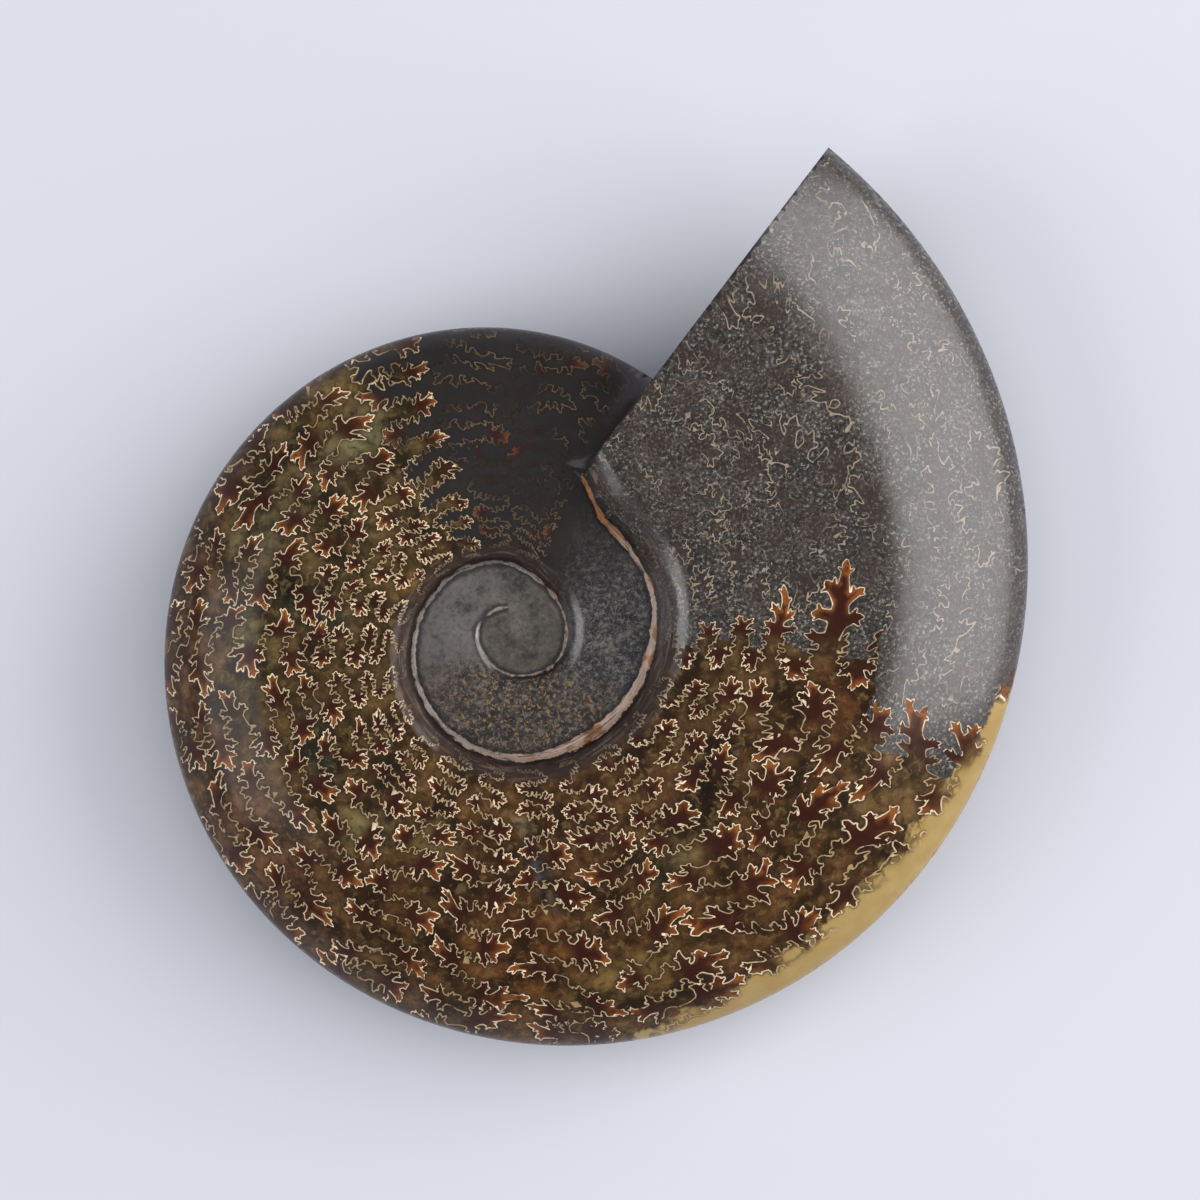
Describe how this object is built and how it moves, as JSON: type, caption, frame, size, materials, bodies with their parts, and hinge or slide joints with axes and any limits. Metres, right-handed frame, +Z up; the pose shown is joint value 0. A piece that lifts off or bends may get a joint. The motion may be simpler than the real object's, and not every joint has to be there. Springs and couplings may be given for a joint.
{
  "type": "ammonite fossil",
  "caption": "Polished ammonite fossil with a wide disc-shaped coil, an open umbilicus and a flat sawn aperture, lying on its side.",
  "frame": {"origin": "middle of the bounding box in plan, at the surface that the fossil lies on", "axes": "+Z up, out of the upper flank; the coil lies flat in XY and grows counterclockwise seen from above, with its sawn aperture towards +Y"},
  "size_m": [0.1468, 0.1526, 0.04],
  "materials": {
    "fossil_stone": "polished"
  },
  "bodies": {
    "root": {"ammonite": "fossil_stone"}
  },
  "joints": []
}
